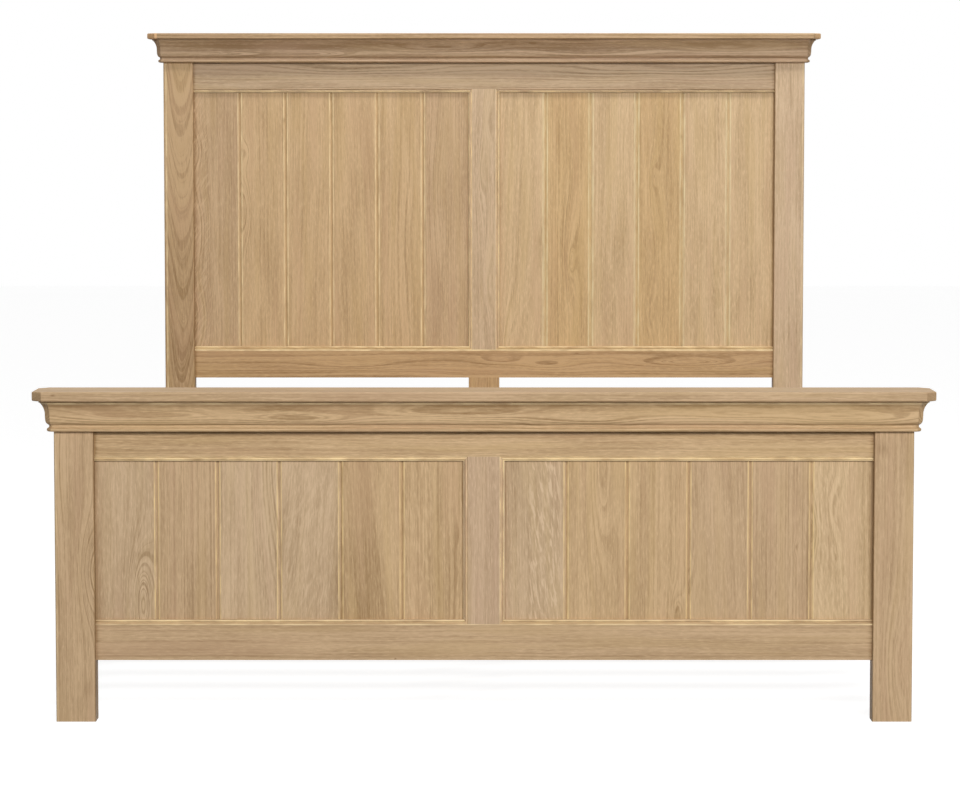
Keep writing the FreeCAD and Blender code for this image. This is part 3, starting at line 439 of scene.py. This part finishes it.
def in_mm(metres):
    """A measure of the frame in mm, to a thousandth."""
    return round(1000.0 * metres, 3)


def middle_of(node):
    low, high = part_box(node)
    return ((low + high) / 2)[:]


def put_on(node, material):
    """The one finish of a CAD node."""
    materials = nodes[node].data.materials
    materials.clear()
    materials.append(material)


def all_over(strength):
    """A shade on the whole piece; below zero it is paler."""
    return ((0, 0, WHOLE, WHOLE, strength),)


def stripe(u, half_width, strength):
    """A shade along the whole grain."""
    return ((u, 0, half_width, WHOLE, strength),)


# ---------------------------------------------------------------------------------------------
# Tongue-and-groove boards
# ---------------------------------------------------------------------------------------------
# In mm, from the frame.
BOARD_COUNT = 6
MUNTIN_HALF = in_mm(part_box("foot_muntin")[1][0])
FIELD_END = in_mm(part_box("foot_post_right")[0][0])
BOARD_PITCH = (FIELD_END - MUNTIN_HALF) / BOARD_COUNT
BOARD_HALF = BOARD_PITCH / 2

# A seed moves a piece's noise, so that no two pieces are cut from the same stretch of it.
BOARD_SEED = 11.0
BOARD_SEED_STEP = 5.37
FRAME_SEED = 211.0
BASE_SEED = 431.0
PIECE_SEED_STEP = 4.71


def board_lip_highlights(index, apart, half_width, strength, fill=0.0):
    """A painted highlight along each lip of the V-joints, and a painted fill of the same tone between
    them.
    """
    lips = []
    for side, reaches_joint in ((-1, index > 1), (1, index < BOARD_COUNT)):
        if reaches_joint:
            lips.append((side * (BOARD_HALF - apart), half_width, strength * (1.0 - 0.1 * side)))
            if fill:
                lips.append((side * (BOARD_HALF - 0.4 * apart), 0.5 * apart, fill))
    return tuple(lips)


def painted_corner_shade(index, side):
    """Painted shade in the corner between an outer board and its post or the muntin."""
    outward = -1 if side == "left" else 1
    by_post, by_muntin = (1, BOARD_COUNT) if side == "left" else (BOARD_COUNT, 1)
    if index == by_post:
        return stripe(outward * BOARD_HALF, 4.6, 0.85)
    if index == by_muntin:
        return stripe(-outward * BOARD_HALF, 2.6, 0.6)
    return ()


BOARDS = {
    "head_board_left_1": Plank(FAWN, ring=6.6, contrast=0.4, wave=6, figure=1.4,
                               curl=(0.4, -42, 30, -0.5),
                               eyes=((-60, -29, 40, 100, -38), (-60, 175, 30, 46, -28),
                                     (-60, -250, 46, 90, -46)),
                               shades=((-54, -10, 16, 90, 0.26), (-54, 200, 12, 50, 0.14))),
    "head_board_left_2": Plank(HONEY, along=0.01, ring=5.0, contrast=0.4, wave=5, figure=1.3,
                               eyes=((-46, 20, 20, 80, -32), (-40, 170, 14, 34, -16)),
                               shades=((54, 252, 2.2, 6, 0.7),)),
    "head_board_left_3": Plank(HONEY, along=-0.02, ring=6.0, contrast=0.45,
                               shades=((10, 160, 30, 120, -0.1),)),
    "head_board_left_4": Plank(HONEY, along=0.03, ring=6.0, contrast=0.4, wave=6),
    "head_board_left_5": Plank(HONEY, ring=8.0, contrast=0.5, eyes=((10, -60, 22, 180, 14),)),
    "head_board_left_6": Plank(FAWN, ring=6.0, contrast=0.45, eyes=((-26, 70, 22, 170, 18),)),
    "head_board_right_1": Plank(PALE, along=-0.045, ring=9.0, contrast=0.35, wave=5,
                                eyes=((-33, -330, 24, 140, 26),),
                                shades=((30, 130, 5, 170, 0.24), (-16, 230, 8, 90, 0.12))
                                + stripe(-30, 5, -0.1)),
    "head_board_right_2": Plank(AMBER, ring=6.0, contrast=0.5, wave=6,
                                eyes=((8, -108, 8, 34, 18), (8, -70, 24, 110, 22)),
                                shades=((8, -100, 22, 60, 0.12), (6, -112, 3, 16, 0.2))),
    "head_board_right_3": Plank(PALE, ring=5.0, contrast=0.35),
    "head_board_right_4": Plank(AMBER, ring=7.0, contrast=0.4, wave=6, figure=0.45,
                                eyes=((-15, 112, 9, 30, 18), (-12, 80, 24, 110, 18),
                                      (-28, -235, 22, 76, 16)),
                                shades=((55, 210, 2.0, 5, 0.7),)),
    "head_board_right_5": Plank(PALE, ring=5.0, contrast=0.4, curl=(0.3, 40, 30, 0.1)),
    "head_board_right_6": Plank(PALE, ring=5.0, contrast=0.35, shades=((0, 0, 50, 200, -0.06),)),
    "foot_board_left_1": Plank(BISCUIT, ring=7.0, contrast=0.3, wave=4, figure=1.5,
                               eyes=((28, -125, 25, 108, 84),),
                               shades=((24, -100, 5, 50, 0.2), (42, -100, 6, 55, 0.3),
                                       (28, -28, 16, 9, 0.2))),
    "foot_board_left_2": Plank(FAWN, ring=4.8, contrast=0.9, wave=4, shades=all_over(-0.07)),
    "foot_board_left_3": Plank(BISCUIT, ring=7.0, contrast=0.4, wave=5, figure=1.1,
                               eyes=((62, 150, 46, 175, 60),), shades=all_over(-0.06)),
    "foot_board_left_4": Plank(BISCUIT, along=-0.09, ring=5.0, contrast=0.3, wave=5,
                               curl=(0.3, -4, 62, -0.25),
                               shades=((51, -80, 8, 80, 0.3), (-20, 130, 34, 60, -0.12))),
    "foot_board_left_5": Plank(HONEY, along=0.06, ring=7.0, contrast=0.3, wave=4,
                               heart=(0.108, 15, 0.3), shades=all_over(0.07)),
    "foot_board_left_6": Plank(HONEY, ring=5.6, contrast=0.6, wave=5, figure=0.9,
                               curl=(0.4, -30, 36, 0.06),
                               eyes=((62, 14, 18, 44, -12), (62, -64, 16, 36, -10)),
                               shades=((10, 0, 2.4, 160, 0.22), (24, 0, 2.0, 160, 0.16),
                                       (50, 8, 7, 9, 0.12))
                               + stripe(30, 26, 0.09) + stripe(-30, 30, 0.05)),
    "foot_board_right_1": Plank(BISCUIT, along=0.04, ring=6.5, contrast=0.45, wave=5,
                                curl=(0.8, 17, 38, 0.16),
                                shades=stripe(-13, 3, 0.22) + stripe(-38, 20, 0.1)),
    "foot_board_right_2": Plank(HONEY, ring=8.0, contrast=0.3, wave=4, eyes=((6, 150, 26, 195, 60),),
                                shades=((28, 0, 14, 90, 0.12), (-20, 20, 4, 80, 0.12))),
    "foot_board_right_3": Plank(HONEY, ring=7.0, contrast=0.4, wave=5, figure=1.2,
                                eyes=((34, -150, 12, 56, 26),),
                                shades=((-9, 95, 3.0, 80, 0.36), (34, -128, 10, 30, 0.16))),
    "foot_board_right_4": Plank(FAWN, along=0.05, ring=8.0, contrast=0.35, wave=5, figure=1.3,
                                eyes=((-60, -150, 34, 100, 30),), shades=all_over(-0.04)),
    "foot_board_right_5": Plank(FAWN, ring=4.6, contrast=0.7, wave=4, eyes=((30, -14, 6, 12, 6),),
                                shades=((30, -13, 2.5, 5, 0.5),)),
    "foot_board_right_6": Plank(PALE, ring=7.0, contrast=0.4, wave=6, figure=0.9,
                                curl=(0.35, -20, 40, 0.12),
                                eyes=((-20, 60, 20, 60, 20), (-54, 18, 22, 60, -20))),
}

# Painted shade: how much darker each footboard board is low down, from left to right.
FOOT_PAINTED_FADES = {"left": (0.16, 0.18, 0.08, 0.16, 0.0, 0.0), "right": (0.0, 0.0, 0.1, 0.08, 0.06, 0.06)}


def dress_boards():
    """Each board's timber, with painted highlights on the lips of its V-joints, painted shade beside the
    joints and in the field's corners, and on the footboard painted shade low down.
    """
    for order, (name, plank) in enumerate(sorted(BOARDS.items())):
        end, _, side, number = name.split("_")
        index = int(number)
        if end == "foot":
            plank.highlight_tone = GOLD
            plank.lips = board_lip_highlights(index, 3.9, 0.9, 0.9)
            # Painted shade beside the V-joints of the footboard, stronger on a board's right edge.
            plank.shades += stripe(50.4, 1.6, 0.14) + stripe(-51.0, 1.4, 0.05)
            # Painted shade low down on the footboard's boards.
            plank.shades += ((0, -150, WHOLE, 150, FOOT_PAINTED_FADES[side][index - 1]),)
        elif side == "left":
            plank.lips = board_lip_highlights(index, 4.5, 1.1, 0.85, 0.12)
        else:
            plank.highlight_tone = STRAW
            plank.lips = board_lip_highlights(index, 5.4, 1.4, 0.85, 0.5)
        plank.shades += painted_corner_shade(index, side)
        field_start = MUNTIN_HALF if side == "right" else -FIELD_END
        x_mm = field_start + BOARD_PITCH * (index - 0.5)
        _, y, z = middle_of(name)
        seed = BOARD_SEED + BOARD_SEED_STEP * order
        put_on(name, timber("oak_" + name, (x_mm / 1000.0, y, z), plank, seed))


# ---------------------------------------------------------------------------------------------
# Frames, caps, mouldings, side rails and the slatted base
# ---------------------------------------------------------------------------------------------
# Painted shade at the rails' ends, in the corners against the posts.
PAINTED_SHADE_AT_RAIL_ENDS = ((0, -FIELD_END, WHOLE, 4.5, 0.75), (0, FIELD_END, WHOLE, 6.0, 0.6))
# Painted shade on the posts' inner arrises and inner side faces.
PAINTED_SHADE_INNER_RIGHT = stripe(37.5, 1.5, 0.7)
PAINTED_SHADE_INNER_LEFT = stripe(-37.5, 1.5, 0.7)
# Painted shadow on the foot posts just under the cornice's bead.
PAINTED_SHADOW_UNDER_FOOT_CORNICE = ((0, 246, WHOLE, 4.5, 0.5),)

# In every piece, the lips and tips are painted highlights.
FRAME_PIECES = {
    "foot_post_left": Plank(FAWN, ring=6.4, contrast=0.6, wave=8, figure=1.4,
                            eyes=((40, -25, 28, 78, 70), (-30, 190, 16, 120, 8)),
                            shades=PAINTED_SHADE_INNER_RIGHT + PAINTED_SHADOW_UNDER_FOOT_CORNICE
                            + ((24, -245, 7, 18, 0.25), (28, 0, 10, 60, 0.1)),
                            lips=((-34.0, 1.2, 0.3),)),
    "foot_post_right": Plank(FAWN, ring=6.0, contrast=0.5, wave=6, eyes=((4, -205, 24, 120, 24),),
                             shades=PAINTED_SHADE_INNER_LEFT + PAINTED_SHADOW_UNDER_FOOT_CORNICE + ((-19, 210, 11, 12, 0.3),),
                             lips=((34.5, 1.0, 0.25),)),
    # head_post_left: painted shade low down and painted light high up.
    "head_post_left": Plank(TAN, across=0.3, along=0.22, arch=-2.4, ring=8.5, contrast=1.1, wave=22,
                            shades=PAINTED_SHADE_INNER_RIGHT
                            + ((0, -160, WHOLE, 260, 0.26), (0, 560, WHOLE, 260, -0.16)),
                            lips=((-31.0, 1.6, 0.6),)),
    "head_post_right": Plank(SAND, ring=6.0, contrast=0.35, wave=6, shades=PAINTED_SHADE_INNER_LEFT,
                             lips=((33.0, 1.6, 0.4),)),
    "head_muntin": Plank(SAND, ring=5.0, contrast=0.6, wave=5,
                         eyes=((-10, 120, 14, 110, 18), (8, -170, 14, 100, 16), (10, 250, 12, 60, 12)),
                         lips=((-37.6, 1.4, 1.0), (-31.4, 1.2, 0.9), (30.6, 1.2, 0.6),
                               (36.8, 1.5, 0.9))),
    "foot_muntin": Plank(ROSY, ring=6.0, contrast=0.3, wave=4,
                         lips=((-37.4, 1.2, 0.4), (-32.0, 1.0, 0.5), (30.6, 1.1, 0.85),
                               (36.4, 1.3, 1.0))),
    "head_centre_leg": Plank(UMBER, ring=6.0, contrast=0.9),
    # foot_top_rail: the stripe at -2.5 is painted shadow under the cornice's bead.
    "foot_top_rail": Plank(HONEY, "X", ring=5.0, contrast=0.5, wave=12,
                           shades=PAINTED_SHADE_AT_RAIL_ENDS + all_over(0.06) + stripe(-2.5, 4.5, 0.5),
                           lips=((-55.0, 2.4, 0.9), (-50.2, 1.0, 0.9))),
    # head_top_rail: the stripes at 5.5 and -6 are painted light over the shadow under the cornice.
    "head_top_rail": Plank(DRIFT, "X", ring=5.4, contrast=1.1, wave=18, lips=((-64.2, 2.2, 0.75),),
                           eyes=((-10, -300, 24, 260, 26), (-14, 420, 24, 260, 22)),
                           shades=PAINTED_SHADE_AT_RAIL_ENDS + stripe(5.5, 3.0, -0.4) + stripe(-6, 14, -0.12)),
    "foot_bottom_rail": Plank(FAWN, "X", ring=7.0, contrast=0.55, wave=8,
                              lips=((35.5, 1.8, 0.95), (29.6, 1.0, 0.8)),
                              shades=PAINTED_SHADE_AT_RAIL_ENDS + ((-36, -168, 1.6, 1.8, 0.9), (-24, 0, 14, 900, 0.07))),
    "head_bottom_rail": Plank(UMBER, "X", ring=6.0, contrast=1.0, wave=12,
                              eyes=((-2, 520, 12, 130, 36), (4, 40, 12, 60, 20),
                                    (-6, 160, 12, 70, 22), (-8, -330, 12, 120, 20)),
                              lips=((33.5, 3.6, 0.45), (37.2, 1.6, 1.0), (30.0, 1.6, 1.0)),
                              shades=PAINTED_SHADE_AT_RAIL_ENDS + ((22, 236, 1.6, 6, 0.6),)),
    "foot_cap": Plank(FAWN, "X", ring=5.0, contrast=0.6, wave=10, deep=0.5,
                      shades=((3, -806, 2.4, 4, 0.6),)),
    # head_cap: its tips are painted light on its two ends.
    "head_cap": Plank(FAWN, "X", ring=5.0, contrast=0.8, wave=12, deep=0.5, shades=all_over(0.16),
                      highlight_tone=APRICOT, tips=((-848, 26, 1.0), (848, 16, 0.7))),
    # foot_cornice_front: the lip is painted light on the fillet, the stripe at 20.4 painted shade in the
    # cove.
    "foot_cornice_front": Plank(HONEY, "X", across=0.9, ring=4.6, contrast=1.0, wave=14,
                                eyes=((-4, -640, 16, 240, 20), (-8, -330, 14, 150, 20),
                                      (4, -60, 16, 200, 16), (-10, 200, 14, 150, 20),
                                      (2, 460, 15, 170, 18), (-6, 720, 15, 150, 20)),
                                lips=((24.9, 1.3, 1.1),),
                                shades=stripe(20.4, 2.6, 0.35) + stripe(12, 9, 0.1)),
    "foot_cornice_back": Plank(HONEY, "X", ring=4.4, contrast=1.0, wave=12,
                               eyes=((-6, -500, 11, 110, 24), (-2, 100, 11, 110, 24),
                                     (-8, 560, 11, 110, 24))),
    "foot_cornice_left": Plank(HONEY, "Y", ring=4.4, contrast=0.9),
    "foot_cornice_right": Plank(HONEY, "Y", ring=4.4, contrast=0.9),
    # head_cornice_front: the stripe at -17.6 is painted shade in the quirk above the bead.
    "head_cornice_front": Plank(ROSY, "X", ring=5.0, contrast=0.85, wave=10, figure=0.9,
                                eyes=((-9, -800, 11, 330, 56), (-9, -420, 9, 90, 16),
                                      (4, -100, 12, 150, 14), (-6, 260, 12, 160, 14),
                                      (4, 620, 12, 130, 14)),
                                shades=((19, 122, 2.2, 9, 0.8), (14, 546, 2.4, 22, 0.8))
                                + stripe(12, 14, 0.6) + stripe(-4, 5, -0.12)
                                + stripe(-17.6, 2.0, 0.55) + ((0, -700, 40, 500, 0.08),)),
    "head_cornice_left": Plank(ROSY, "Y", ring=4.6, contrast=0.8),
    "head_cornice_right": Plank(ROSY, "Y", ring=4.6, contrast=0.8),
    "side_rail_left": Plank(HONEY, "Y", ring=6.0, contrast=0.7, wave=16,
                            eyes=((0, 300, 24, 180, 40), (-20, -420, 20, 220, 30))),
    "side_rail_right": Plank(HONEY, "Y", ring=6.0, contrast=0.7, wave=16,
                             eyes=((10, -200, 24, 180, 40), (-10, 480, 20, 200, 30))),
}

BASE_PIECES = {
    "bearer_left": Plank(PINE, "Y", ring=5.0, contrast=0.6),
    "bearer_right": Plank(PINE, "Y", ring=5.0, contrast=0.6),
    "centre_beam": Plank(PINE, "Y", ring=5.0, contrast=0.6, eyes=((10, 200, 10, 90, 20),)),
    "centre_leg_foot": Plank(PINE, "Z", ring=5.0, contrast=0.6),
    "centre_leg_head": Plank(PINE, "Z", ring=5.0, contrast=0.6),
    "slats": Plank(PINE, "X", ring=6.0, contrast=0.6, deep=1.3, wave=18),
    "foot_cap_tongue": Plank(BEECH, "X", ring=5.0, contrast=0.3),
    "head_cap_tongue": Plank(BEECH, "X", ring=5.0, contrast=0.3),
}


def dress_pieces(pieces, prefix, first_seed):
    """Each piece's timber, with seeds that follow the order of the names."""
    for order, (name, plank) in enumerate(sorted(pieces.items())):
        seed = first_seed + PIECE_SEED_STEP * order
        put_on(name, timber(prefix + name, middle_of(name), plank, seed))


dress_boards()
dress_pieces(FRAME_PIECES, "oak_", FRAME_SEED)
dress_pieces(BASE_PIECES, "softwood_", BASE_SEED)


# ---------------------------------------------------------------------------------------------
# Metal fittings
# ---------------------------------------------------------------------------------------------
def plated(name, shade, roughness, grain_mm):
    """Plated metal: small flat crystals of slightly different shade, fine scratches."""
    metal = Finish(name)
    coordinates = metal.tree.nodes.new("ShaderNodeTexCoord")
    crystals = metal.add("TexVoronoi", {"Vector": coordinates.outputs["Object"],
                                        "Scale": 1000.0 / grain_mm}, "Color")
    parts = metal.add("SeparateColor", {"Color": crystals}, 0)
    scratches = metal.noise(metal.add("Mapping", {"Vector": coordinates.outputs["Object"],
                                                  "Scale": (160.0, 160.0, 2400.0)}, 0), 2.0)
    base = tone(*shade)
    colour = metal.blend(parts, shifted(base, 0.86, 0.86, 0.86), shifted(base, 1.08, 1.08, 1.08))
    rough = metal.total(metal.between(parts, 0.0, 1.0, roughness - 0.06, roughness + 0.06),
                        metal.between(scratches, 0.3, 0.7, -0.04, 0.06))
    metal.dress(colour, rough, metal.total(parts, scratches), 0.01, Metallic=1.0)
    return metal.material


zinc = plated("zinc_plate", (176, 180, 184), 0.42, 3.0)
bright_zinc = plated("zinc_bolt", (186, 189, 192), 0.32, 1.2)
brass = plated("brass", (196, 160, 96), 0.34, 1.0)
for name, metal in (("corner_brackets", zinc), ("beam_hangers", zinc), ("bracket_bolts", bright_zinc),
                    ("bolt_inserts", brass)):
    put_on(name, metal)


# ---------------------------------------------------------------------------------------------
# Wood screws, placed from the pieces that they hold
# ---------------------------------------------------------------------------------------------
RIM_SUNK = 0.0003
SLOT_HALF_WIDTH = 0.2    # in radii
SLOT_REACH = 0.72        # in radii
SLOT_DEPTH = 1.4         # in rises


def screw_heads(name, places, facing, radius, rise):
    """Raised screw heads with a cross slot, each on a polar grid of r, in radii, and angle.

    In words: the height is the rise times one less r squared, to the power 0.6, and the rim is sunk.
    The slot takes its depth times twice the arm, at most once. The arm falls from 1 on an axis to 0
    at the slot's half width, times a part that falls from 1 in the middle to 0 at the slot's reach.
    """
    rings, turns = 9, 32
    r, angle = np.meshgrid(np.linspace(0.0, 1.0, rings)[1:],
                           np.linspace(0, 2 * np.pi, turns, endpoint=False), indexing="ij")
    x, y = r * np.cos(angle), r * np.sin(angle)
    arm = np.clip(1.0 - np.minimum(abs(x), abs(y)) / SLOT_HALF_WIDTH, 0, 1)
    arm *= np.clip(1.0 - r / SLOT_REACH, 0, 1)
    height = rise * (1.0 - r ** 2) ** 0.6 - SLOT_DEPTH * rise * np.minimum(2.0 * arm, 1.0)
    height -= RIM_SUNK * (r == 1.0)
    local = np.stack((x * radius, y * radius, height), -1).reshape(-1, 3)
    local = np.vstack(([(0.0, 0.0, (1.0 - SLOT_DEPTH) * rise)], local))
    along = np.array(facing, float)
    side = np.cross(along, (0.0, 0.0, 1.0)) if abs(along[2]) < 0.5 else np.array((1.0, 0.0, 0.0))
    one = local @ np.stack((side, np.cross(along, side), along))
    points = (np.array(places, float)[:, None, :] + one[None]).reshape(-1, 3)

    ring, turn = np.meshgrid(np.arange(rings - 2), np.arange(turns), indexing="ij")
    nearer = 1 + ring * turns + turn
    further = 1 + ring * turns + (turn + 1) % turns
    quads = np.stack((nearer, nearer + turns, further + turns, further), -1).reshape(-1, 4)
    fan = np.stack((np.zeros(turns, int), 1 + np.arange(turns), 1 + (np.arange(turns) + 1) % turns), -1)
    starts = np.arange(len(places))[:, None, None] * len(one)
    faces = (starts + quads[None]).reshape(-1, 4).tolist() + (starts + fan[None]).reshape(-1, 3).tolist()
    mesh = bpy.data.meshes.new(name)
    mesh.from_pydata(points.tolist(), [], faces)
    mesh.shade_smooth()
    mesh.materials.append(bright_zinc)
    piece = bpy.data.objects.new(name, mesh)
    bpy.context.scene.collection.objects.link(piece)
    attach(piece, "root")


PLATE = 0.003                    # thickness of the brackets and hangers
BRACKET_SCREW_FROM_POST = 0.030
BRACKET_SCREW_HALF_SPACING = 0.036
BEARER_SCREWS = 6
BEARER_SCREW_MARGIN = 0.117      # a bearer's end to its first screw
BEARER_SCREW_STEP = 0.335
HANGER_SCREW_HALF_SPACING = 0.0285
SLATS = 14
SLAT_WIDTH = 0.070
SLAT_PITCH = 0.14154
BIG_HEAD = 0.0045                # radii of the heads
SMALL_HEAD = 0.0042
PROUD = 0.0022                   # rises of the heads
LOW = 0.0010
NEARLY_FLUSH = 0.0008

bracket_low, bracket_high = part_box("corner_brackets")
bearer_low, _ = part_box("bearer_right")
hanger_low, hanger_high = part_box("beam_hangers")
slats_low, slats_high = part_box("slats")
_, _, bracket_z = middle_of("corner_brackets")
bearer_x, _, bearer_z = middle_of("bearer_right")
_, _, hanger_z = middle_of("beam_hangers")
bracket_x = bracket_high[0] - PLATE
foot_y = bracket_low[1] + BRACKET_SCREW_FROM_POST
head_y = bracket_high[1] - BRACKET_SCREW_FROM_POST
first_bearer_y = bearer_low[1] + BEARER_SCREW_MARGIN
first_slat_y = slats_low[1] + SLAT_WIDTH / 2

for word, side in (("left", -1), ("right", 1)):
    screw_heads("bracket_screws_" + word,
                [(side * bracket_x, y, bracket_z + rise) for y in (foot_y, head_y)
                 for rise in (-BRACKET_SCREW_HALF_SPACING, BRACKET_SCREW_HALF_SPACING)],
                (-side, 0, 0), BIG_HEAD, PROUD)
    screw_heads("bearer_screws_" + word,
                [(side * bearer_low[0], first_bearer_y + BEARER_SCREW_STEP * step, bearer_z)
                 for step in range(BEARER_SCREWS)],
                (-side, 0, 0), SMALL_HEAD, LOW)
for word, y, inward in (("foot", hanger_low[1] + PLATE, 1), ("head", hanger_high[1] - PLATE, -1)):
    screw_heads("hanger_screws_" + word,
                [(x, y, hanger_z) for x in (-HANGER_SCREW_HALF_SPACING, HANGER_SCREW_HALF_SPACING)],
                (0, inward, 0), SMALL_HEAD, PROUD)
screw_heads("slat_screws",
            [(x, first_slat_y + SLAT_PITCH * step, slats_high[2])
             for step in range(SLATS) for x in (-bearer_x, bearer_x)],
            (0, 0, 1), SMALL_HEAD, NEARLY_FLUSH)
